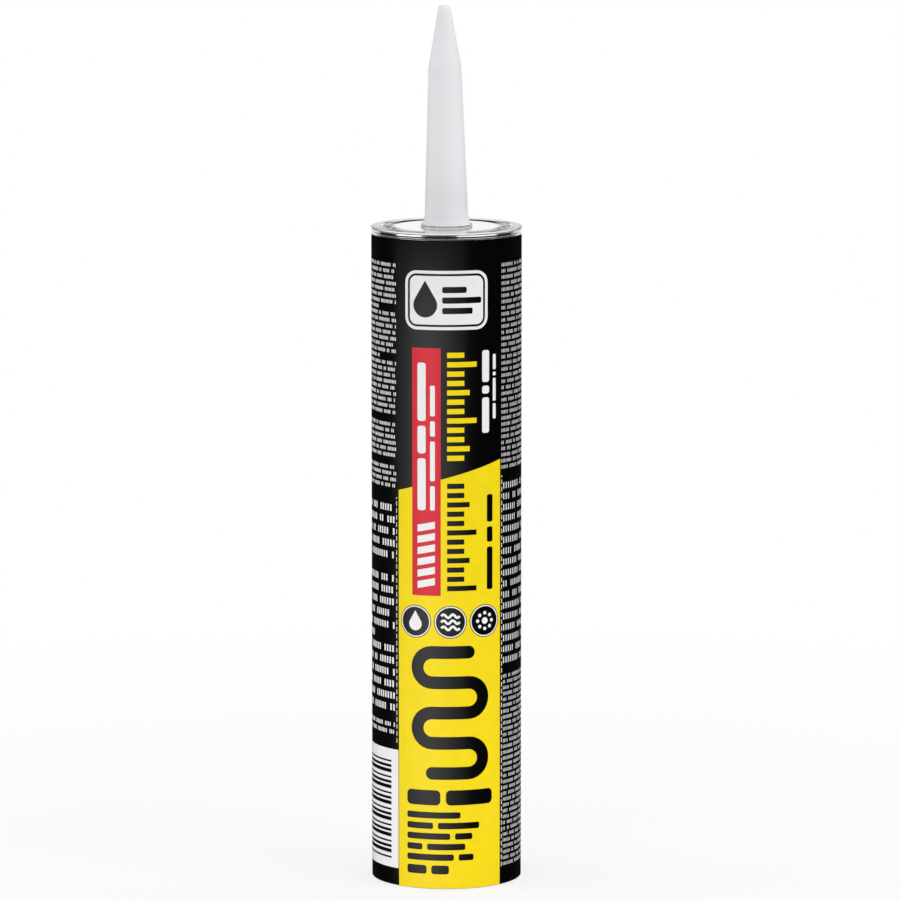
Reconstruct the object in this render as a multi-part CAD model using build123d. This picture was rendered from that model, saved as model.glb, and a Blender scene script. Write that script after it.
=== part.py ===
from build123d import *
import math
import os

# Driving dimensions, in millimetres.
# The axis of the cartridge is Z. It stands on the open rear end of its tube at Z 0, and the front of
# the label faces -Y.
cartridge_length = 215.4
label_diameter = 49.0
label_thickness = 0.15
tube_bore = 46.2
fill_volume_ml = 305.0
nozzle_reach = 71.3
nozzle_lean_degrees = 0.55

# Fibre tube and its paper label
tube_inset = 0.6
label_foot_gap = 0.15
label_under_rim = 1.05
lap_width = 6.0
lap_thickness = 0.1
lap_gap = 0.25

# Crimped sheet-metal end. Its sizes follow the middle of the sheet.
sheet_thickness = 0.3
skirt_play = 0.19
rim_height = 2.27
waist_height = 0.5
waist_top = 1.05
waist_depth = 0.17
waist_radius = 0.6
crest_width = 3.74
crest_fall = 0.3
crest_outer_radius = 0.55
crest_inner_radius = 0.45
groove_depth = 1.3
groove_width = 2.2
groove_radius = 0.5
groove_wall_slope = 0.35
panel_wall_slope = 1.2
panel_drop = 0.4
panel_dish = 0.1
panel_corner_radius = 0.8
collar_height = 0.85
collar_bend_radius = 0.42

# Nozzle, moulded in one piece with its flange
nozzle_root_radius = 8.05
nozzle_collar_play = 0.15
flare_height = 3.1
shank_base_radius = 7.05
knee_from_tip = 20.1
knee_radius = 5.34
knee_blend = 12.0
tip_radius = 1.86
tip_edge_radius = 0.35
flange_radius = 10.5
flange_thickness = 1.4
flange_play = 0.12
nozzle_wall = 1.4
tip_plug = 2.2
tip_bore_radius = 0.9

# Foil membrane that closes the nozzle's inlet
seal_radius = 9.5
seal_thickness = 0.2
seal_gap = 0.02

# Adhesive and the plunger behind it
wall_film = 0.05
fill_headroom = 1.6
plunger_height = 18.0
plunger_wall = 1.3
plunger_floor = 1.5
plunger_side_play = 0.55
lip_play = 0.05
lip_height = 1.6
lip_land = 0.4
lip_from_face = 3.6
plunger_face_bevel = 1.2
plunger_inner_fillet = 1.5
plunger_rear_edge = 0.3

# Sizes that follow from the driving dimensions
label_radius = label_diameter / 2
tube_radius = label_radius - label_thickness
bore_radius = tube_bore / 2
half_sheet = sheet_thickness / 2
crest_level = cartridge_length - half_sheet
tube_top = cartridge_length - tube_inset
rim_line = label_radius + skirt_play + half_sheet
rim_bottom = crest_level - rim_height
crest_line = rim_line - crest_width
groove_level = crest_level - groove_depth
groove_outer = crest_line - groove_wall_slope
groove_inner = groove_outer - groove_width
panel_edge = groove_inner - panel_wall_slope
panel_level = crest_level - panel_drop
collar_line = nozzle_root_radius + nozzle_collar_play + half_sheet
collar_level = panel_level - panel_dish
collar_top = collar_level + collar_height
nozzle_tip = cartridge_length + nozzle_reach
knee_level = nozzle_tip - knee_from_tip
fill_radius = bore_radius - wall_film
fill_top = groove_level - half_sheet - fill_headroom
fill_length = fill_volume_ml * 1000 / (math.pi * fill_radius**2)
fill_bottom = fill_top - fill_length
plunger_face = fill_bottom - wall_film
plunger_rear = plunger_face - plunger_height


def ring(inner_radius, outer_radius, bottom, top):
    """A plain tube about the axis between two levels."""
    section = Polyline(
        (inner_radius, bottom),
        (outer_radius, bottom),
        (outer_radius, top),
        (inner_radius, top),
        close=True,
    )
    return turned(section)


def turned(outline):
    """The solid swept by a closed outline, drawn as radius and level, about the axis."""
    return revolve(Plane.XZ * make_face(outline), Axis.Z)


def panel_underside(radius):
    """Level of the lower face of the end's slightly dished panel at a radius."""
    share = (panel_edge - radius) / (panel_edge - collar_line)
    return panel_level - panel_dish * share - half_sheet


def leaning(solid):
    """Tilts a solid with the nozzle, which sits a little askew in its collar."""
    pivot = Axis((0, 0, collar_level), (0, 1, 0))
    return solid.rotate(pivot, -nozzle_lean_degrees)


def make_cartridge_tube():
    """Spiral-wound fibre tube, cut square at both ends."""
    return ring(bore_radius, tube_radius, 0, tube_top)


def make_printed_label():
    """Paper wrap, glued to itself along a lap at the back."""
    wrap = ring(tube_radius, label_radius, label_foot_gap, tube_top - label_under_rim)
    lap_top = rim_bottom - half_sheet - lap_gap
    lap_ring = ring(tube_radius, label_radius + lap_thickness, label_foot_gap, lap_top)
    back_strip = Pos(0, label_radius, cartridge_length / 2) * Box(lap_width, label_radius, cartridge_length)
    return wrap + (lap_ring & back_strip)


def make_metal_end():
    """Stamped end: skirt crimped round the tube, broad crest that falls a little outwards, groove, raised
    panel and nozzle collar."""
    middle_of_sheet = FilletPolyline(
        (rim_line, rim_bottom),
        (rim_line - waist_depth, rim_bottom + waist_height),
        (rim_line, rim_bottom + waist_top),
        (rim_line, crest_level - crest_fall),
        (crest_line, crest_level),
        (groove_outer, groove_level),
        (groove_inner, groove_level),
        (panel_edge, panel_level),
        (collar_line, collar_level),
        (collar_line, collar_top),
        radius=[
            waist_radius,
            waist_radius,
            crest_outer_radius,
            crest_inner_radius,
            groove_radius,
            groove_radius,
            panel_corner_radius,
            collar_bend_radius,
        ],
    )
    return turned(middle_of_sheet.wire().offset_2d(half_sheet))


def make_nozzle():
    """Hollow tapered nozzle with a closed tip and a flange held under the panel."""
    flange_top = panel_underside(flange_radius) - flange_play
    flange_bottom = flange_top - flange_thickness
    flare_top = collar_top + flare_height
    shank_base = (shank_base_radius, flare_top)
    knee = (knee_radius, knee_level)
    root = Polyline(
        (0, flange_bottom),
        (flange_radius, flange_bottom),
        (flange_radius, flange_top),
        (nozzle_root_radius, panel_underside(nozzle_root_radius) - flange_play),
        (nozzle_root_radius, collar_top),
    )
    down_the_shank = (shank_base_radius - knee_radius, flare_top - knee_level)
    flare = TangentArc(shank_base, (nozzle_root_radius, collar_top), tangent=down_the_shank)
    shank = FilletPolyline(
        shank_base,
        knee,
        (tip_radius, nozzle_tip),
        (0, nozzle_tip),
        radius=[knee_blend, tip_edge_radius],
    )
    axis_line = Line((0, nozzle_tip), (0, flange_bottom))
    passage = Polyline(
        (0, flange_bottom),
        (shank_base_radius - nozzle_wall, flange_bottom),
        (shank_base_radius - nozzle_wall, flare_top),
        (knee_radius - nozzle_wall, knee_level),
        (tip_bore_radius, nozzle_tip - tip_plug),
        (0, nozzle_tip - tip_plug),
        close=True,
    )
    return leaning(turned(root + flare + shank + axis_line) - turned(passage))


def make_inner_seal():
    """Foil disc across the nozzle's inlet, under the flange."""
    flange_bottom = panel_underside(flange_radius) - flange_play - flange_thickness
    seal_top = flange_bottom - seal_gap
    disc = Pos(0, 0, seal_top - seal_thickness / 2) * Cylinder(seal_radius, seal_thickness)
    return leaning(disc)


def make_adhesive_fill():
    """The paste between the plunger and the end."""
    return Pos(0, 0, fill_bottom + fill_length / 2) * Cylinder(fill_radius, fill_length)


def make_plunger():
    """Moulded cup, open to the rear, with two wiping lips round its skirt."""
    skirt_radius = bore_radius - plunger_side_play
    lip_radius = bore_radius - lip_play
    lip_rise = (lip_height - lip_land) / 2
    front_lip = plunger_face - lip_from_face
    rear_lip = plunger_rear + plunger_rear_edge + lip_height / 2
    side = [
        (skirt_radius - plunger_face_bevel, plunger_face),
        (skirt_radius, plunger_face - plunger_face_bevel),
    ]
    for lip_middle in (front_lip, rear_lip):
        side += [
            (skirt_radius, lip_middle + lip_land / 2 + lip_rise),
            (lip_radius, lip_middle + lip_land / 2),
            (lip_radius, lip_middle - lip_land / 2),
            (skirt_radius, lip_middle - lip_land / 2 - lip_rise),
        ]
    outside = Polyline((0, plunger_face), *side, (skirt_radius, plunger_rear), (0, plunger_rear), close=True)
    cup_radius = skirt_radius - plunger_wall
    cup_floor = plunger_face - plunger_floor
    cup_side = FilletPolyline(
        (cup_radius, plunger_rear),
        (cup_radius, cup_floor),
        (0, cup_floor),
        radius=plunger_inner_fillet,
    )
    cup_axis = Polyline((0, cup_floor), (0, plunger_rear), (cup_radius, plunger_rear))
    return turned(outside) - turned(cup_side + cup_axis)


os.makedirs("parts", exist_ok=True)
makers = {
    "cartridge_tube": make_cartridge_tube,
    "printed_label": make_printed_label,
    "metal_end": make_metal_end,
    "nozzle": make_nozzle,
    "inner_seal": make_inner_seal,
    "adhesive_fill": make_adhesive_fill,
    "plunger": make_plunger,
}
for node, make in makers.items():
    export_step(make(), f"parts/{node}.step")

print(f"fill from {fill_bottom:.2f} to {fill_top:.2f}, length {fill_length:.2f}")
print(f"plunger from {plunger_rear:.2f} to {plunger_face:.2f}, nozzle tip at {nozzle_tip:.2f}")
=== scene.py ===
import math
import random

import bmesh
import bpy
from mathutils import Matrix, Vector


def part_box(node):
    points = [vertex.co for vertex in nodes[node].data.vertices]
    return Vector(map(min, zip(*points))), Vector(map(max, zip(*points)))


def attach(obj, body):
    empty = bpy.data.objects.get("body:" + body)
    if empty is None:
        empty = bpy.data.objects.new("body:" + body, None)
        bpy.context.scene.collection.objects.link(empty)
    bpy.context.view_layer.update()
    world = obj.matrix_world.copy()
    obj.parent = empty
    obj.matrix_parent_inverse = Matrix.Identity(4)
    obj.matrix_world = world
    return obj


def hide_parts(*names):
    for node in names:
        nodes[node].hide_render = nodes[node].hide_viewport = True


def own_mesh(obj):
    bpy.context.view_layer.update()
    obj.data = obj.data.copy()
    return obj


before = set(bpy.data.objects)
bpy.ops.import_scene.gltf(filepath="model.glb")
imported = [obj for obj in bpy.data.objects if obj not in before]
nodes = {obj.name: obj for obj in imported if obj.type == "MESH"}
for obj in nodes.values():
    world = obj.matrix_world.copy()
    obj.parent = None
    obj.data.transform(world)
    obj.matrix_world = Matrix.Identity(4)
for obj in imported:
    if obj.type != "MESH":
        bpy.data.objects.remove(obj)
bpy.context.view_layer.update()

# Places on the label are in millimetres: along is the arc from the front line, positive to the
# right seen from the front, and level is the height above the foot. Everything else is in metres.
MM = 0.001
label_low, label_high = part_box("printed_label")
LABEL_RADIUS = label_high.x
LABEL_FOOT = label_low.z / MM

# Heights of the printed layers above the paper, how far each sinks into it, and the width of the
# strips that follow the label's curve, all in millimetres
FIELD_INK = 0.030
MARK_INK = 0.045
DETAIL_INK = 0.060
INK_SINK = 0.01
ARC_STEP = 1.0

# Main fields of the print
PANEL_LEFT = -16.75
PANEL_RIGHT = 19.3
PANEL_TOP_LEFT = 131.0
PANEL_SLOPE = 0.277
STRIPE_LEFT = -11.5
STRIPE_RIGHT = -1.85
STRIPE_BOTTOM = 97.0
STRIPE_TOP = 178.0

# Barred panel at the lower left, and its bars from the lowest up
BAR_PANEL_LEFT = -53.0
BAR_PANEL_RIGHT = -17.0
BAR_PANEL_BOTTOM = 5.7
BAR_PANEL_TOP = 45.1
BAR_MARGIN_LEFT = 3.0
BAR_MARGIN_RIGHT = 3.2
BAR_MARGIN_BOTTOM = 3.0
BAR_COUNT = 19
BAR_PITCH = 1.78
BAR_THICKNESSES = (0.6, 1.2, 0.9)

# Columns of small print on both sides of the front. A block is its bottom, its top, the pitch of
# its lines and its distance from the column's edge. The fill is a tick's share of a tick and its
# gap.
LEFT_COLUMN_EDGE = -17.9
RIGHT_COLUMN_EDGE = 20.0
COLUMN_WIDTH = 44.0
COLUMN_TOP = 205.6
LEFT_BLOCKS = ((131.0, COLUMN_TOP, 2.0, 0.0), (56.0, 127.6, 3.87, 0.6), (48.0, 55.0, 2.4, 0.6))
RIGHT_BLOCKS = ((137.0, COLUMN_TOP, 2.0, 0.0), (71.5, 134.6, 3.6, 0.9), (6.0, 70.5, 1.95, 0.9))
LEFT_FILL = 0.53
RIGHT_FILL = 0.33
SMALL_PRINT_SEED = 7
PARAGRAPH_LINES = (6, 10)
LAST_LINE_SHARES = (0.5, 0.85)
TICKS_IN_A_BAR = (2, 9)

# Sizes in a line of small print, as shares of the pitch of the lines
TICK_PITCH = 0.35
TICK_HEIGHT = 0.56
BAR_SPACE = 0.45

# Dashed lines beside the lower blocks: place, bottom and top
DASHED_LINES = ((LEFT_COLUMN_EDGE + 0.25, 47.5, 128.5), (RIGHT_COLUMN_EDGE + 0.1, 6.0, 135.5))
DASH_WIDTH = 0.26
DASH_LENGTH = 1.5
DASH_PITCH = 2.3

# Badge with a drop and a few bars, whose places are from the badge's middle
BADGE_PLACE = (0.0, 193.5)
BADGE_HALF_SIZE = (14.0, 9.6)
BADGE_CORNER = 4.0
BADGE_LINE_INSETS = (1.0, 1.7)
BADGE_DROP_PLACE = (-7.0, -1.6)
BADGE_DROP_RADIUS = 4.0
BADGE_BARS_PLACE = (-1.4, -4.4)
BADGE_BAR_LENGTHS = (10.0, 13.0, 8.0)
BADGE_BAR_HEIGHT = 2.0
BADGE_BAR_PITCH = 3.4

# Measuring scale, which leaves a gap on both sides of the yellow panel's top edge
SCALE_EDGE = 0.2
SCALE_START = 98.6
SCALE_PITCH = 3.05
SCALE_TICK = 1.7
SCALE_LENGTHS = (9.8, 5.6, 5.6, 7.4, 5.6, 5.6)
SCALE_BOTTOM = STRIPE_BOTTOM + 1.0
SCALE_TOP = STRIPE_TOP + 1.5
SCALE_GAP_BELOW = 1.5
SCALE_GAP_ABOVE = 1.0

# Three round chips with a drop, waves and dots
CHIP_PLACES = (-10.4, 1.3, 13.0)
CHIP_LEVEL = 88.4
CHIP_RADIUS = 5.4
CHIP_POINTS = 48
CHIP_RING_INSETS = (0.25, 0.65)
CHIP_DROP_FALL = 0.8
CHIP_DROP_RADIUS = 2.2
WAVE_SPAN = 6.0
WAVE_CYCLES = 2
WAVE_RISE = 0.55
WAVE_PITCH = 2.0
WAVE_WIDTH = 0.8
WAVE_STEPS = 24
DOT_COUNT = 8
DOT_RING_RADIUS = 2.6
DOT_RADIUS = 0.6
DOT_POINTS = 16
CORE_RADIUS = 1.1
CORE_POINTS = 24

# Winding bead
BEAD_LEFT = -9.7
BEAD_RIGHT = 12.3
BEAD_BOTTOM = 38.4
BEAD_PITCH = 10.0
BEAD_PASSES = 5
BEAD_WIDTH = 4.2
BEAD_TURN_STEPS = 14
BEAD_END_POINTS = 32

# Rows of bars at the foot of the yellow panel: bottom, height, and the ends of each bar
FOOT_ROWS = (
    (27.8, 5.0, ((-13.4, -2.0), (-0.2, 15.8))),
    (23.4, 2.1, ((-13.4, 4.6),)),
    (19.9, 2.1, ((-13.4, -4.4), (-2.8, 11.0))),
    (16.4, 2.1, ((-13.4, 1.2), (2.8, 8.6))),
    (12.9, 2.1, ((-13.4, -8.0), (-6.4, 6.2))),
    (9.4, 2.1, ((-13.4, 2.4), (4.0, 9.0))),
    (4.9, 2.9, ((-13.4, -6.6), (-5.0, 0.8))),
)

# Stacks of upright bars: middle, width, bottom, the lengths from the lowest up, and the gap
PANEL_BARS = ((14.9, 2.2, 98.6, (14.0, 5.0, 9.0), 1.6),)
SIDE_BARS = (
    (13.3, 2.6, 150.0, (11.6, 2.6, 10.4), 1.2),
    (16.7, 1.2, 154.4, (5.0, 7.5, 1.2, 5.0), 0.8),
)
STRIPE_BARS = (
    (STRIPE_LEFT + 3.3, 2.8, STRIPE_BOTTOM + 28.0, (17.0, 9.0, 19.0), 1.6),
    (STRIPE_RIGHT - 2.7, 1.6, STRIPE_BOTTOM + 28.0, (8.0, 13.0, 5.0, 10.0), 1.6),
)

# Slanting bars at the foot of the stripe
SLANT_MARGIN = 1.9
SLANT_FOOT = 2.4
SLANT_COUNT = 6
SLANT_THICKNESS = 2.3
SLANT_GAP = 1.4
SLANT_LEAN = 1.2

# Corner radius of a bar as a share of its narrow side, and how finely round outlines are drawn
BAR_ROUNDING = 0.3
CORNER_STEPS = 6
DROP_STEPS = 40

# Colours as linear red, green and blue
BLACK = (0.0008, 0.0008, 0.0009)
DARK = (0.0014, 0.0013, 0.0013)
YELLOW = (0.90, 0.69, 0.002)
RED = (0.62, 0.014, 0.032)
WHITE = (0.86, 0.86, 0.86)

# Fibre tube: its wall, and the foil liner that faces the bore
TUBE_WALL = 0.00125
BOARD_ROUGHNESS = 0.88
LINER_DEPTH = 0.00004
LINER_METALLIC = 0.55
LINER_SMOOTHER_BY = 0.5

# Sockets for colours on a Mix node, which has sockets for every type of data
MIX_FIRST = 6
MIX_SECOND = 7
MIX_RESULT = 2

# Camera, from the photograph's viewpoint
CAMERA_PLACE = (0.00114, -2.0051, 0.43835)
CAMERA_PITCH_DOWN = 8.428
CAMERA_LENS = 247.95
CAMERA_SENSOR = 36.0
CAMERA_NEAR = 0.05

# Floor and room
FLOOR_LEVEL = -0.0002
FLOOR_RADIUS = 0.5
FLOOR_POINTS = 96
FLOOR_FADE_START = 0.12
FLOOR_COLOUR = (0.82, 0.82, 0.82)
FLOOR_GLOW = 0.75
ROOM_BRIGHTENS_TOWARDS = (0.0, 0.15, 1.0)
ROOM_DARK_BELOW = 0.3
ROOM_BRIGHT_ABOVE = 0.75
ROOM_DARK = 0.02
ROOM_BRIGHT = 1.1

# Strip lamps close to the label. They stand a little apart, because lamps in one plane take each
# other's light.
SHEEN_MIDDLE = Vector((0.0, 0.0, 0.081))
SHEEN_AZIMUTH = -26.0
SHEEN_ELEVATION = 0.0
SHEEN_DISTANCE = 0.11
SHEEN_APART = 0.003
SHEEN_WIDTHS = (0.06, 0.14, 0.3)
SHEEN_HEIGHT = 0.222
SHEEN_RADIANCE = 0.72

# Lamps aimed at the middle of the object: azimuth, elevation, distance, width, height and radiance
OBJECT_MIDDLE = Vector((0.0, 0.0, 0.13))
FILLS = {
    "key_left": (-28.0, 2.0, 1.4, 0.8, 0.7, 3.95),
    "fill_right": (58.0, 15.0, 1.4, 1.0, 1.2, 2.45),
    "fill_left": (-95.0, 15.0, 1.4, 0.8, 1.2, 1.8),
    "fill_back_right": (115.0, 15.0, 1.4, 0.8, 1.2, 1.2),
}
BORE_LAMPS = {"fill_below": (0.0, -90.0, 0.5, 0.5, 0.5, 3.0)}
METAL_CARDS = {
    "card_left": (-58.0, -8.0, 1.2, 0.95, 0.4, 1.6),
    "card_right": (48.0, -8.0, 1.2, 1.5, 0.4, 1.4),
    "card_back_left": (-142.0, 0.0, 1.2, 1.0, 0.6, 0.8),
    "card_back_right": (142.0, 0.0, 1.2, 1.0, 0.6, 0.8),
    "card_back": (180.0, 1.4, 1.2, 1.0, 0.62, 0.78),
    "card_over_panel": (180.0, 36.6, 0.187, 0.036, 0.042, 0.3),
    "card_round_-90": (-90.0, 9.5, 1.2, 1.3, 0.3, 0.5),
    "card_round_-30": (-30.0, 9.5, 1.2, 1.3, 0.3, 0.5),
    "card_round_30": (30.0, 9.5, 1.2, 1.3, 0.3, 0.5),
    "card_round_90": (90.0, 9.5, 1.2, 1.3, 0.3, 0.5),
}


class Flat:
    """Shapes drawn flat on the unrolled label, then wrapped round it as one thin closed skin."""

    def __init__(self):
        self.mesh = bmesh.new()

    def corners(self, points):
        return [self.mesh.verts.new((along, level, 0.0)) for along, level in points]

    def polygon(self, points):
        self.mesh.faces.new(self.corners(points))

    def box(self, left, bottom, right, top):
        self.polygon([(left, bottom), (right, bottom), (right, top), (left, top)])

    def slanted_box(self, left, bottom, right, top, lean):
        """A block whose right side stands higher than its left by lean."""
        self.polygon([(left, bottom), (right, bottom + lean), (right, top + lean), (left, top)])

    def band(self, outer, inner):
        """The strip between two closed outlines of as many points each."""
        outside = self.corners(outer)
        inside = self.corners(inner)
        for i in range(len(outside)):
            j = (i + 1) % len(outside)
            self.mesh.faces.new((outside[i], outside[j], inside[j], inside[i]))

    def ribbon(self, path, width):
        """A line of constant width along a path of points."""
        sides = []
        for i, (along, level) in enumerate(path):
            before = path[max(i - 1, 0)]
            after = path[min(i + 1, len(path) - 1)]
            step = Vector((after[0] - before[0], after[1] - before[1])).normalized()
            offset = Vector((-step.y, step.x)) * width / 2
            left = self.mesh.verts.new((along + offset.x, level + offset.y, 0.0))
            right = self.mesh.verts.new((along - offset.x, level - offset.y, 0.0))
            sides.append((left, right))
        for (left_a, right_a), (left_b, right_b) in zip(sides, sides[1:]):
            self.mesh.faces.new((right_a, right_b, left_b, left_a))

    def wrap(self, name, height, material):
        """Cuts the shapes into narrow strips, bends them round the label and thickens them."""
        flat = self.mesh
        lowest = min(v.co.x for v in flat.verts)
        highest = max(v.co.x for v in flat.verts)
        for i in range(math.ceil(lowest / ARC_STEP), math.floor(highest / ARC_STEP) + 1):
            everything = flat.verts[:] + flat.edges[:] + flat.faces[:]
            cut_at = (i * ARC_STEP, 0.0, 0.0)
            bmesh.ops.bisect_plane(
                flat, geom=everything, plane_co=cut_at, plane_no=(1.0, 0.0, 0.0)
            )
        flat.verts.index_update()
        count = len(flat.verts)
        places = [on_label(v.co.x, v.co.y, height) for v in flat.verts]
        places += [on_label(v.co.x, v.co.y, -INK_SINK) for v in flat.verts]
        top = []
        for face in flat.faces:
            ring = [v.index for v in face.verts]
            if face.normal.z < 0:
                ring.reverse()
            top.append(ring)
        faces = top + [[i + count for i in reversed(ring)] for ring in top]
        directed = {(a, b) for ring in top for a, b in zip(ring, ring[1:] + ring[:1])}
        for a, b in sorted(directed):
            if (b, a) not in directed:
                faces.append([b, a, a + count, b + count])
        skin = bpy.data.meshes.new(name)
        skin.from_pydata(places, [], faces)
        skin.update()
        smooth_round_axis(skin, len(top))
        flat.free()
        skin.materials.append(material)
        return add_piece(name, skin)


def on_label(along, level, height):
    """The point of the label at an arc and a level, raised by height."""
    angle = along * MM / LABEL_RADIUS
    radius = LABEL_RADIUS + height * MM
    return (radius * math.sin(angle), -radius * math.cos(angle), level * MM)


def smooth_round_axis(skin, top_faces):
    """Gives the first faces of a skin the normals of a true cylinder, so that their narrow strips
    don't show."""
    normals = []
    for face in skin.polygons:
        for i in face.vertices:
            place = skin.vertices[i].co
            if face.index < top_faces:
                normals.append(Vector((place.x, place.y, 0.0)).normalized())
            else:
                normals.append(face.normal.copy())
    for face in skin.polygons:
        face.use_smooth = True
    skin.normals_split_custom_set(normals)


def add_piece(name, mesh, body="cartridge"):
    """Puts a mesh in the scene as a piece that moves with a body."""
    piece = bpy.data.objects.new(name, mesh)
    bpy.context.scene.collection.objects.link(piece)
    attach(piece, body)
    return piece


def circle(along, level, radius, count):
    """Points of a circle, counter-clockwise."""
    turns = [2 * math.pi * i / count for i in range(count)]
    return [(along + radius * math.cos(t), level + radius * math.sin(t)) for t in turns]


def rounded(left, bottom, right, top, radius):
    """Points of a rectangle with round corners, counter-clockwise."""
    points = []
    corners = [
        (right - radius, bottom + radius, -90),
        (right - radius, top - radius, 0),
        (left + radius, top - radius, 90),
        (left + radius, bottom + radius, 180),
    ]
    for along, level, start in corners:
        for i in range(CORNER_STEPS + 1):
            turn = math.radians(start + 90 * i / CORNER_STEPS)
            points.append((along + radius * math.cos(turn), level + radius * math.sin(turn)))
    return points


def add_node(tree, kind, inputs=None, **options):
    """Adds a node to a tree, and sets its options and the plain values of its inputs."""
    made = tree.nodes.new(kind)
    for name, value in options.items():
        setattr(made, name, value)
    for socket, value in (inputs or {}).items():
        made.inputs[socket].default_value = value
    return made


class Shader:
    """A Principled material with helpers for its procedural detail."""

    def __init__(self, name, **settings):
        self.material = bpy.data.materials.new(name)
        self.material.use_nodes = True
        self.tree = self.material.node_tree
        self.surface = self.tree.nodes["Principled BSDF"]
        self.place = self.node("ShaderNodeTexCoord").outputs["Object"]
        for socket, value in settings.items():
            self.surface.inputs[socket.replace("_", " ")].default_value = value

    def node(self, kind, inputs=None, **options):
        return add_node(self.tree, kind, inputs, **options)

    def link(self, source, target):
        self.tree.links.new(source, target)

    def noise(self, scale, detail, stretch=(1.0, 1.0, 1.0)):
        """Noise from 0 to 1, drawn out along the axes where stretch is small."""
        mapping = self.node("ShaderNodeMapping", {"Scale": stretch})
        self.link(self.place, mapping.inputs["Vector"])
        texture = self.node("ShaderNodeTexNoise", {"Scale": scale, "Detail": detail})
        self.link(mapping.outputs["Vector"], texture.inputs["Vector"])
        return texture.outputs["Fac"]

    def ramp(self, value, low, high):
        """Maps a 0 to 1 value to the range from low to high."""
        spread = self.node("ShaderNodeMapRange", {"To Min": low, "To Max": high})
        self.link(value, spread.inputs["Value"])
        return spread.outputs["Result"]

    def mix(self, share, first, second):
        """Mixes two colours, each a socket or a plain colour."""
        blend = self.node("ShaderNodeMix", data_type="RGBA")
        self.link(share, blend.inputs["Factor"])
        for index, colour in ((MIX_FIRST, first), (MIX_SECOND, second)):
            if isinstance(colour, tuple):
                blend.inputs[index].default_value = (*colour, 1.0)
            else:
                self.link(colour, blend.inputs[index])
        return blend.outputs[MIX_RESULT]

    def math(self, operation, first, second=None):
        """Works on one or two values, each a socket or a plain number."""
        made = self.node("ShaderNodeMath", operation=operation)
        for socket, value in zip(made.inputs, (first, second)):
            if value is None:
                continue
            if isinstance(value, (int, float)):
                socket.default_value = value
            else:
                self.link(value, socket)
        return made.outputs["Value"]

    def radius(self):
        """Distance from the axis."""
        parts = self.node("ShaderNodeSeparateXYZ")
        self.link(self.place, parts.inputs["Vector"])
        squares = [self.math("POWER", parts.outputs[axis], 2.0) for axis in ("X", "Y")]
        return self.math("SQRT", self.math("ADD", *squares))

    def colour(self, source):
        self.link(source, self.surface.inputs["Base Color"])

    def metallic(self, source):
        self.link(source, self.surface.inputs["Metallic"])

    def roughness(self, source):
        self.link(source, self.surface.inputs["Roughness"])

    def bump(self, height, distance):
        bump = self.node("ShaderNodeBump", {"Distance": distance})
        self.link(height, bump.inputs["Height"])
        self.link(bump.outputs["Normal"], self.surface.inputs["Normal"])


def tinted(colour, factor):
    """A colour made lighter or darker by a factor."""
    return tuple(min(1.0, c * factor) for c in colour)


def print_material(name, colour, contrast=0.06):
    """Printing ink under a thin satin varnish on smooth paper."""
    shader = Shader(name, Specular_IOR_Level=0.3)
    mottle = shader.noise(scale=260.0, detail=4.0)
    shader.colour(shader.mix(mottle, tinted(colour, 1 - contrast), tinted(colour, 1 + contrast)))
    shader.roughness(shader.ramp(shader.noise(scale=90.0, detail=2.0), low=0.27, high=0.33))
    shader.bump(shader.noise(scale=2600.0, detail=3.0), distance=0.000006)
    return shader.material


def tinplate_material():
    """Bright rolled tinplate with faint grain and a little handling haze."""
    shader = Shader("tinplate", Metallic=1.0)
    grain = shader.noise(scale=160.0, detail=3.0, stretch=(1.0, 14.0, 14.0))
    haze = shader.noise(scale=70.0, detail=3.0)
    shader.colour(shader.mix(haze, (0.74, 0.745, 0.75), (0.84, 0.845, 0.85)))
    shader.roughness(shader.ramp(haze, low=0.10, high=0.20))
    shader.bump(grain, distance=0.000004)
    return shader.material


def nozzle_material():
    """Natural polyethylene: milky, slightly blue, with soft flow marks along the moulding."""
    shader = Shader(
        "nozzle_plastic",
        Subsurface_Weight=0.5,
        Subsurface_Scale=0.0015,
        Subsurface_Radius=(1.0, 1.0, 1.1),
        Specular_IOR_Level=0.45,
    )
    flow = shader.noise(scale=120.0, detail=3.0, stretch=(1.0, 1.0, 0.12))
    shader.colour(shader.mix(flow, (0.88, 0.89, 0.935), (0.92, 0.93, 0.97)))
    shader.roughness(shader.ramp(flow, low=0.36, high=0.46))
    shader.bump(shader.noise(scale=900.0, detail=2.0), distance=0.00001)
    return shader.material


def fibre_material():
    """Wound grey-brown board: plies show on the cut rear edge, and a foil liner faces the bore."""
    shader = Shader("fibre")
    radius = shader.radius()
    waves = {"Scale": 600.0, "Distortion": 0.6}
    plies = shader.node("ShaderNodeTexWave", waves, wave_type="BANDS", bands_direction="X")
    across = shader.node("ShaderNodeCombineXYZ")
    shader.link(radius, across.inputs["X"])
    shader.link(across.outputs["Vector"], plies.inputs["Vector"])
    fibres = shader.noise(scale=700.0, detail=5.0)
    board = shader.mix(fibres, (0.30, 0.215, 0.135), (0.47, 0.36, 0.245))
    ply_edges = shader.ramp(plies.outputs["Fac"], low=0.0, high=0.45)
    plied = shader.mix(ply_edges, board, (0.24, 0.17, 0.105))
    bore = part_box("cartridge_tube")[1].x - TUBE_WALL
    liner = shader.math("LESS_THAN", radius, bore + LINER_DEPTH)
    streaks = shader.noise(scale=220.0, detail=3.0, stretch=(1.0, 1.0, 0.3))
    foil = shader.mix(streaks, (0.52, 0.52, 0.52), (0.68, 0.68, 0.67))
    shader.colour(shader.mix(liner, plied, foil))
    shader.metallic(shader.math("MULTIPLY", liner, LINER_METALLIC))
    smoother = shader.math("MULTIPLY", liner, LINER_SMOOTHER_BY)
    shader.roughness(shader.math("SUBTRACT", BOARD_ROUGHNESS, smoother))
    shader.bump(fibres, distance=0.00004)
    return shader.material


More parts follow.
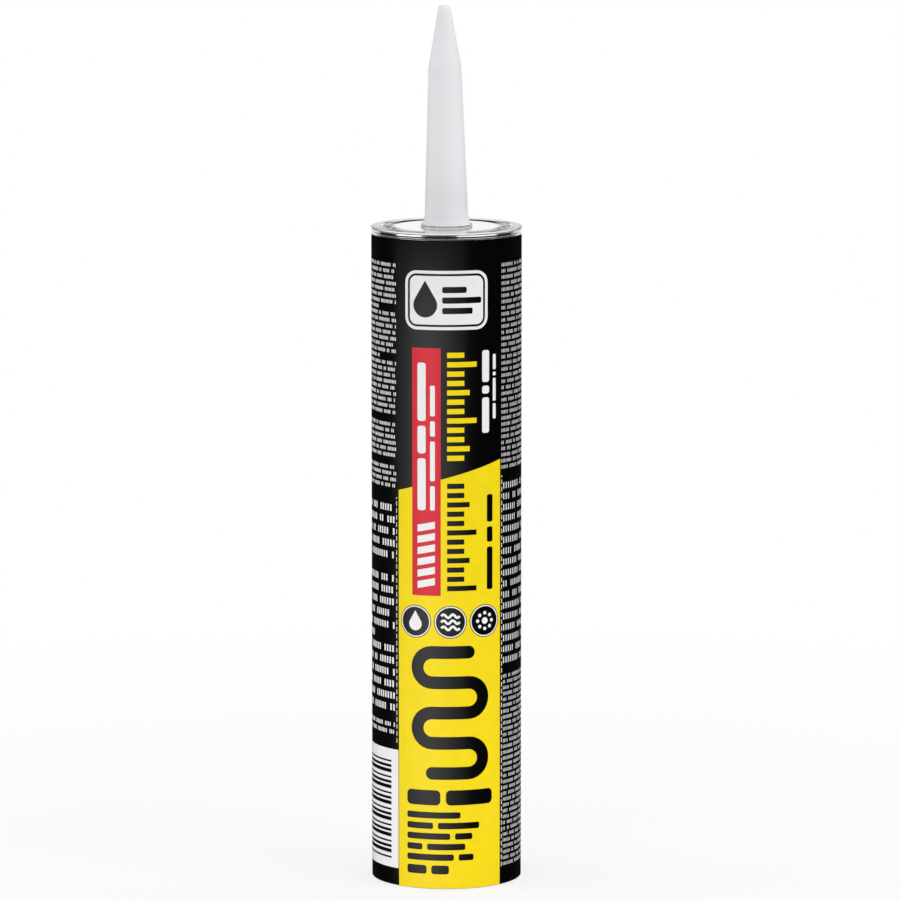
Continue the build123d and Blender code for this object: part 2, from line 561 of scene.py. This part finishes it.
def foil_material():
    """Slightly crinkled foil."""
    shader = Shader("foil", Metallic=1.0)
    crinkle = shader.noise(scale=400.0, detail=4.0)
    shader.colour(shader.mix(crinkle, (0.70, 0.70, 0.71), (0.82, 0.82, 0.83)))
    shader.roughness(shader.ramp(crinkle, low=0.25, high=0.4))
    shader.bump(crinkle, distance=0.00005)
    return shader.material


def adhesive_material():
    """Tan paste with slow swirls."""
    shader = Shader("adhesive", Specular_IOR_Level=0.5)
    swirl = shader.noise(scale=80.0, detail=4.0)
    shader.colour(shader.mix(swirl, (0.36, 0.255, 0.13), (0.45, 0.33, 0.18)))
    shader.roughness(shader.ramp(swirl, low=0.35, high=0.5))
    shader.bump(swirl, distance=0.0003)
    return shader.material


def plunger_material():
    """Off-white moulded plastic."""
    shader = Shader("plunger_plastic", Subsurface_Weight=0.2, Subsurface_Scale=0.002)
    flow = shader.noise(scale=140.0, detail=3.0)
    shader.colour(shader.mix(flow, (0.66, 0.665, 0.65), (0.74, 0.745, 0.73)))
    shader.roughness(shader.ramp(flow, low=0.4, high=0.52))
    shader.bump(shader.noise(scale=1200.0, detail=2.0), distance=0.00002)
    return shader.material


def dress_node(node, material):
    """Gives a CAD node its finished material."""
    mesh = nodes[node].data
    mesh.materials.clear()
    mesh.materials.append(material)


def word_row(shapes, rng, left, right, level, pitch, fill):
    """One line of hatched bars, each a run of equal upright ticks, that stands for small print."""
    tick = pitch * TICK_PITCH * fill
    gap = pitch * TICK_PITCH * (1 - fill)
    along = left
    while along < right - tick:
        for _ in range(rng.randint(*TICKS_IN_A_BAR)):
            if along + tick > right:
                break
            shapes.box(along, level, along + tick, level + pitch * TICK_HEIGHT)
            along += tick + gap
        along += pitch * BAR_SPACE


def small_print(shapes, rng, left, right, bottom, top, pitch, fill):
    """A block of small print, filled from the top down with paragraphs that end in a short line."""
    level = top - pitch
    lines_left = rng.randint(*PARAGRAPH_LINES)
    while level > bottom:
        lines_left -= 1
        end = right
        if lines_left == 0:
            end = left + (right - left) * rng.uniform(*LAST_LINE_SHARES)
            lines_left = rng.randint(*PARAGRAPH_LINES)
        word_row(shapes, rng, left, end, level, pitch, fill)
        level -= pitch


def dashed_line(shapes, along, bottom, top):
    """An upright dashed line."""
    half = DASH_WIDTH / 2
    level = bottom
    while level < top:
        shapes.box(along - half, level, along + half, min(level + DASH_LENGTH, top))
        level += DASH_PITCH


def white_print():
    """White small print in a column on each side, and the dashed lines beside it."""
    rng = random.Random(SMALL_PRINT_SEED)
    shapes = Flat()
    left_end = LEFT_COLUMN_EDGE - COLUMN_WIDTH
    right_end = RIGHT_COLUMN_EDGE + COLUMN_WIDTH
    for bottom, top, pitch, inset in LEFT_BLOCKS:
        edge = LEFT_COLUMN_EDGE - inset
        small_print(shapes, rng, left_end, edge, bottom, top, pitch, LEFT_FILL)
    for bottom, top, pitch, inset in RIGHT_BLOCKS:
        edge = RIGHT_COLUMN_EDGE + inset
        small_print(shapes, rng, edge, right_end, bottom, top, pitch, RIGHT_FILL)
    for along, bottom, top in DASHED_LINES:
        dashed_line(shapes, along, bottom, top)
    return shapes


def panel_top(along):
    """Level of the yellow panel's sloping top edge."""
    return PANEL_TOP_LEFT + PANEL_SLOPE * (along - PANEL_LEFT)


def yellow_field():
    """The yellow panel, cut out where the red stripe runs into it."""
    shapes = Flat()
    shapes.polygon([
        (PANEL_LEFT, LABEL_FOOT),
        (PANEL_RIGHT, LABEL_FOOT),
        (PANEL_RIGHT, panel_top(PANEL_RIGHT)),
        (STRIPE_RIGHT, panel_top(STRIPE_RIGHT)),
        (STRIPE_RIGHT, STRIPE_BOTTOM),
        (STRIPE_LEFT, STRIPE_BOTTOM),
        (STRIPE_LEFT, panel_top(STRIPE_LEFT)),
        (PANEL_LEFT, PANEL_TOP_LEFT),
    ])
    return shapes


def red_field():
    """The red stripe."""
    shapes = Flat()
    shapes.box(STRIPE_LEFT, STRIPE_BOTTOM, STRIPE_RIGHT, STRIPE_TOP)
    return shapes


def white_field():
    """White badge at the top and the ground of the barred panel at the lower left."""
    shapes = Flat()
    shapes.polygon(badge_outline(0.0))
    shapes.box(BAR_PANEL_LEFT, BAR_PANEL_BOTTOM, BAR_PANEL_RIGHT, BAR_PANEL_TOP)
    return shapes


def badge_outline(inset):
    """The badge's round-cornered outline, drawn in by inset."""
    along, level = BADGE_PLACE
    half_width, half_height = (half - inset for half in BADGE_HALF_SIZE)
    left, right = along - half_width, along + half_width
    bottom, top = level - half_height, level + half_height
    return rounded(left, bottom, right, top, BADGE_CORNER - inset)


def upright_bars(shapes, stacks):
    """Plain round-ended bars one above the other, in stacks."""
    for middle, width, level, lengths, gap in stacks:
        left, right = middle - width / 2, middle + width / 2
        for length in lengths:
            shapes.polygon(rounded(left, level, right, level + length, width * BAR_ROUNDING))
            level += length + gap


def bar_row(shapes, bottom, height, spans):
    """Plain round-ended bars side by side in one line."""
    for left, right in spans:
        shapes.polygon(rounded(left, bottom, right, bottom + height, height * BAR_ROUNDING))


def slanting_bars(shapes):
    """Bars across the foot of the stripe that rise to the right."""
    left, right = STRIPE_LEFT + SLANT_MARGIN, STRIPE_RIGHT - SLANT_MARGIN
    for i in range(SLANT_COUNT):
        level = STRIPE_BOTTOM + SLANT_FOOT + i * (SLANT_THICKNESS + SLANT_GAP)
        shapes.slanted_box(left, level, right, level + SLANT_THICKNESS, SLANT_LEAN)


def scale_ticks(shapes, bottom, top):
    """Part of a measuring scale that runs up the label, with every sixth tick long."""
    first = math.ceil((bottom - SCALE_START) / SCALE_PITCH)
    last = math.floor((top - SCALE_TICK - SCALE_START) / SCALE_PITCH)
    for i in range(first, last + 1):
        level = SCALE_START + i * SCALE_PITCH
        length = SCALE_LENGTHS[i % len(SCALE_LENGTHS)]
        shapes.box(SCALE_EDGE, level, SCALE_EDGE + length, level + SCALE_TICK)


def drop_outline(along, level, radius):
    """A drop with its point up: a circle drawn out along the two tangents from a point that is two
    radii above its middle, which touch it at 30 and 150 degrees."""
    points = []
    for i in range(DROP_STEPS + 1):
        turn = math.radians(150 + 240 * i / DROP_STEPS)
        points.append((along + radius * math.cos(turn), level + radius * math.sin(turn)))
    points.append((along, level + 2 * radius))
    return points


def bead_path():
    """The middle line of a bead laid to and fro, from the lower left up."""
    turn_radius = BEAD_PITCH / 2
    middle = (BEAD_LEFT + BEAD_RIGHT) / 2
    reach = (BEAD_RIGHT - BEAD_LEFT) / 2 - turn_radius
    path = []
    for i in range(BEAD_PASSES):
        level = BEAD_BOTTOM + BEAD_PITCH * i
        side = 1 if i % 2 == 0 else -1
        path.append((middle - side * reach, level))
        if i == BEAD_PASSES - 1:
            path.append((middle + side * reach, level))
            break
        for j in range(BEAD_TURN_STEPS):
            turn = math.radians(-90 + 180 * j / BEAD_TURN_STEPS)
            along = middle + side * (reach + turn_radius * math.cos(turn))
            path.append((along, level + turn_radius * (1 + math.sin(turn))))
    return path


def bead_marks(shapes):
    """The bead with its round ends."""
    path = bead_path()
    shapes.ribbon(path, BEAD_WIDTH)
    for along, level in (path[0], path[-1]):
        shapes.polygon(circle(along, level, BEAD_WIDTH / 2, BEAD_END_POINTS))


def badge_marks(shapes):
    """A line round the white badge, a drop at its left and a few bars."""
    along, level = BADGE_PLACE
    outer, inner = BADGE_LINE_INSETS
    shapes.band(badge_outline(outer), badge_outline(inner))
    drop_along, drop_level = BADGE_DROP_PLACE
    shapes.polygon(drop_outline(along + drop_along, level + drop_level, BADGE_DROP_RADIUS))
    left = along + BADGE_BARS_PLACE[0]
    lowest = level + BADGE_BARS_PLACE[1]
    for i, length in enumerate(BADGE_BAR_LENGTHS):
        bar_row(shapes, lowest + BADGE_BAR_PITCH * i, BADGE_BAR_HEIGHT, [(left, left + length)])


def bar_panel_marks(shapes):
    """The bars of the barred panel."""
    left = BAR_PANEL_LEFT + BAR_MARGIN_LEFT
    right = BAR_PANEL_RIGHT - BAR_MARGIN_RIGHT
    level = BAR_PANEL_BOTTOM + BAR_MARGIN_BOTTOM
    for i in range(BAR_COUNT):
        shapes.box(left, level, right, level + BAR_THICKNESSES[i % len(BAR_THICKNESSES)])
        level += BAR_PITCH


def dark_marks():
    """Dark scale, bead and bars on the yellow panel, and marks on the white fields."""
    shapes = Flat()
    badge_marks(shapes)
    scale_ticks(shapes, SCALE_BOTTOM, panel_top(SCALE_EDGE) - SCALE_GAP_BELOW)
    upright_bars(shapes, PANEL_BARS)
    bead_marks(shapes)
    for bottom, height, spans in FOOT_ROWS:
        bar_row(shapes, bottom, height, spans)
    bar_panel_marks(shapes)
    return shapes


def chip_grounds():
    """Dark discs in a row across the yellow panel."""
    shapes = Flat()
    for along in CHIP_PLACES:
        shapes.polygon(circle(along, CHIP_LEVEL, CHIP_RADIUS, CHIP_POINTS))
    return shapes


def chip_marks():
    """A pale ring on each disc, with a drop, waves and a ring of dots in turn."""
    shapes = Flat()
    for along in CHIP_PLACES:
        outer, inner = (CHIP_RADIUS - inset for inset in CHIP_RING_INSETS)
        shapes.band(
            circle(along, CHIP_LEVEL, outer, CHIP_POINTS),
            circle(along, CHIP_LEVEL, inner, CHIP_POINTS),
        )
    left, middle, right = CHIP_PLACES
    shapes.polygon(drop_outline(left, CHIP_LEVEL - CHIP_DROP_FALL, CHIP_DROP_RADIUS))
    for row in (-1, 0, 1):
        wave = []
        for i in range(WAVE_STEPS + 1):
            share = i / WAVE_STEPS
            rise = WAVE_RISE * math.sin(2 * WAVE_CYCLES * math.pi * share)
            along = middle - WAVE_SPAN / 2 + WAVE_SPAN * share
            wave.append((along, CHIP_LEVEL + WAVE_PITCH * row + rise))
        shapes.ribbon(wave, WAVE_WIDTH)
    for along, level in circle(right, CHIP_LEVEL, DOT_RING_RADIUS, DOT_COUNT):
        shapes.polygon(circle(along, level, DOT_RADIUS, DOT_POINTS))
    shapes.polygon(circle(right, CHIP_LEVEL, CORE_RADIUS, CORE_POINTS))
    return shapes


def yellow_marks():
    """The upper part of the scale, on the dark ground."""
    shapes = Flat()
    bottom = panel_top(SCALE_EDGE + max(SCALE_LENGTHS)) + SCALE_GAP_ABOVE
    scale_ticks(shapes, bottom, SCALE_TOP)
    return shapes


def stripe_marks():
    """White bars up the red stripe, and slanting ones at its foot."""
    shapes = Flat()
    slanting_bars(shapes)
    upright_bars(shapes, STRIPE_BARS)
    return shapes


def side_marks():
    """White bars on the dark ground at the right of the scale."""
    shapes = Flat()
    upright_bars(shapes, SIDE_BARS)
    return shapes


def make_print():
    """All the printed fields and marks, one piece for each ink and layer."""
    yellow = print_material("ink_yellow", YELLOW)
    red = print_material("ink_red", RED)
    white = print_material("ink_white", WHITE, contrast=0.04)
    dark = print_material("ink_dark", DARK, contrast=0.2)
    return [
        yellow_field().wrap("yellow_panel", FIELD_INK, yellow),
        red_field().wrap("red_stripe", FIELD_INK, red),
        white_field().wrap("white_fields", FIELD_INK, white),
        white_print().wrap("small_print", FIELD_INK, white),
        yellow_marks().wrap("yellow_scale", FIELD_INK, yellow),
        side_marks().wrap("side_bars", FIELD_INK, white),
        dark_marks().wrap("dark_marks", MARK_INK, dark),
        chip_grounds().wrap("chip_grounds", MARK_INK, dark),
        stripe_marks().wrap("stripe_bars", MARK_INK, white),
        chip_marks().wrap("chip_marks", DETAIL_INK, white),
    ]


def make_adhesive():
    """The paste column: a copy of the fill's mesh with its own material, standing in for the fill.
    """
    paste = nodes["adhesive_fill"].data.copy()
    paste.materials.clear()
    paste.materials.append(adhesive_material())
    piece = add_piece("adhesive_column", paste)
    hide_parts("adhesive_fill")
    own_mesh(piece)


def make_camera():
    """A long lens that looks a little down on the front of the label."""
    data = bpy.data.cameras.new("camera")
    data.lens = CAMERA_LENS
    data.sensor_width = CAMERA_SENSOR
    data.clip_start = CAMERA_NEAR
    camera = bpy.data.objects.new("camera", data)
    camera.location = CAMERA_PLACE
    camera.rotation_euler = (math.radians(90 - CAMERA_PITCH_DOWN), 0.0, 0.0)
    bpy.context.scene.collection.objects.link(camera)
    bpy.context.scene.camera = camera


def make_floor():
    """A pale floor that fades into the white backdrop, takes the object's shadow and hides nothing
    from below."""
    mesh = bpy.data.meshes.new("floor")
    edge = circle(0.0, 0.0, FLOOR_RADIUS, FLOOR_POINTS)
    mesh.from_pydata([(x, y, FLOOR_LEVEL) for x, y in edge], [], [range(len(edge))])
    material = bpy.data.materials.new("floor")
    material.use_nodes = True
    tree = material.node_tree
    tree.nodes.clear()
    link = tree.links.new
    output = add_node(tree, "ShaderNodeOutputMaterial")
    paint = add_node(tree, "ShaderNodeBsdfDiffuse", {"Color": (*FLOOR_COLOUR, 1.0)})
    glow = add_node(tree, "ShaderNodeEmission")
    place = add_node(tree, "ShaderNodeTexCoord")
    distance = add_node(tree, "ShaderNodeVectorMath", operation="LENGTH")
    link(place.outputs["Object"], distance.inputs[0])
    reach = {"From Min": FLOOR_FADE_START, "From Max": FLOOR_RADIUS, "To Min": FLOOR_GLOW}
    fade = add_node(tree, "ShaderNodeMapRange", reach, interpolation_type="SMOOTHSTEP")
    link(distance.outputs["Value"], fade.inputs["Value"])
    path = add_node(tree, "ShaderNodeLightPath")
    seen = add_node(tree, "ShaderNodeMath", operation="MULTIPLY")
    link(fade.outputs["Result"], seen.inputs[0])
    link(path.outputs["Is Camera Ray"], seen.inputs[1])
    blend = add_node(tree, "ShaderNodeMixShader")
    link(seen.outputs["Value"], blend.inputs["Fac"])
    link(paint.outputs["BSDF"], blend.inputs[1])
    link(glow.outputs["Emission"], blend.inputs[2])
    side = add_node(tree, "ShaderNodeNewGeometry")
    clear = add_node(tree, "ShaderNodeBsdfTransparent")
    one_sided = add_node(tree, "ShaderNodeMixShader")
    link(side.outputs["Backfacing"], one_sided.inputs["Fac"])
    link(blend.outputs["Shader"], one_sided.inputs[1])
    link(clear.outputs["BSDF"], one_sided.inputs[2])
    link(one_sided.outputs["Shader"], output.inputs["Surface"])
    mesh.materials.append(material)
    floor = bpy.data.objects.new("floor", mesh)
    floor.visible_glossy = False
    floor.visible_shadow = False
    bpy.context.scene.collection.objects.link(floor)


def make_world():
    """White to camera and transmission rays, and to all others a room that brightens upwards and
    away from the camera."""
    world = bpy.data.worlds.new("studio")
    bpy.context.scene.world = world
    world.use_nodes = True
    tree = world.node_tree
    tree.nodes.clear()
    link = tree.links.new
    output = add_node(tree, "ShaderNodeOutputWorld")
    place = add_node(tree, "ShaderNodeTexCoord")
    towards = {1: ROOM_BRIGHTENS_TOWARDS}
    rise = add_node(tree, "ShaderNodeVectorMath", towards, operation="DOT_PRODUCT")
    link(place.outputs["Generated"], rise.inputs[0])
    reach = {
        "From Min": ROOM_DARK_BELOW,
        "From Max": ROOM_BRIGHT_ABOVE,
        "To Min": ROOM_DARK,
        "To Max": ROOM_BRIGHT,
    }
    level = add_node(tree, "ShaderNodeMapRange", reach, interpolation_type="SMOOTHSTEP")
    link(rise.outputs["Value"], level.inputs["Value"])
    white = {"Color": (1.0, 1.0, 1.0, 1.0)}
    room = add_node(tree, "ShaderNodeBackground", white)
    link(level.outputs["Result"], room.inputs["Strength"])
    backdrop = add_node(tree, "ShaderNodeBackground", white)
    path = add_node(tree, "ShaderNodeLightPath")
    seen = add_node(tree, "ShaderNodeMath", operation="MAXIMUM")
    link(path.outputs["Is Camera Ray"], seen.inputs[0])
    link(path.outputs["Is Transmission Ray"], seen.inputs[1])
    choose = add_node(tree, "ShaderNodeMixShader")
    link(seen.outputs["Value"], choose.inputs["Fac"])
    link(room.outputs["Background"], choose.inputs[1])
    link(backdrop.outputs["Background"], choose.inputs[2])
    link(choose.outputs["Shader"], output.inputs["Surface"])


def make_softbox(name, azimuth, elevation, distance, width, height, radiance, aim=OBJECT_MIDDLE):
    """A soft rectangular lamp aimed at a point of the object. Azimuth and elevation are in degrees,
    azimuth from the camera's side with right of it positive, and radiance is how bright the lamp's
    face is."""
    data = bpy.data.lights.new(name, "AREA")
    data.shape = "RECTANGLE"
    data.size = width
    data.size_y = height
    data.energy = radiance * math.pi * width * height
    lamp = bpy.data.objects.new(name, data)
    turn, rise = math.radians(azimuth), math.radians(elevation)
    flat = math.cos(rise)
    away = Vector((math.sin(turn) * flat, -math.cos(turn) * flat, math.sin(rise)))
    lamp.location = aim + away * distance
    lamp.rotation_euler = (-away).to_track_quat("-Z", "Y").to_euler()
    lamp.visible_camera = False
    bpy.context.scene.collection.objects.link(lamp)
    return lamp


def light_only(lamps, name, pieces):
    """Limits lamps to some pieces, which a new collection holds."""
    receivers = bpy.data.collections.new(name)
    for piece in pieces:
        receivers.objects.link(piece)
    for lamp in lamps:
        lamp.light_linking.receiver_collection = receivers


def make_sheen():
    """Strip lamps for a soft sheen in the varnish, hidden from diffuse rays."""
    lamps = []
    for i, width in enumerate(SHEEN_WIDTHS):
        distance = SHEEN_DISTANCE + SHEEN_APART * i
        place = (SHEEN_AZIMUTH, SHEEN_ELEVATION, distance, width, SHEEN_HEIGHT, SHEEN_RADIANCE)
        lamp = make_softbox(f"sheen_{i}", *place, aim=SHEEN_MIDDLE)
        lamp.visible_diffuse = False
        lamps.append(lamp)
    return lamps


def make_lights(printed):
    """A sheen that only the label takes, a key and broad fills that don't show in reflections, a
    lamp below that only lights the tube and the plunger, and pale cards that only the metal end
    sees."""
    light_only(make_sheen(), "varnished", printed)
    for name, place in FILLS.items():
        make_softbox(name, *place).visible_glossy = False
    below = [make_softbox(name, *place) for name, place in BORE_LAMPS.items()]
    light_only(below, "inside", [nodes["cartridge_tube"], nodes["plunger"]])
    cards = [make_softbox(name, *place) for name, place in METAL_CARDS.items()]
    light_only(cards, "metal_only", [nodes["metal_end"]])


dress_node("printed_label", print_material("label_black", BLACK, contrast=0.25))
dress_node("metal_end", tinplate_material())
dress_node("nozzle", nozzle_material())
dress_node("cartridge_tube", fibre_material())
dress_node("inner_seal", foil_material())
dress_node("plunger", plunger_material())
printed = [nodes["printed_label"]] + make_print()
make_adhesive()
make_floor()
make_world()
make_lights(printed)
make_camera()
bpy.context.scene.view_settings.view_transform = "Standard"
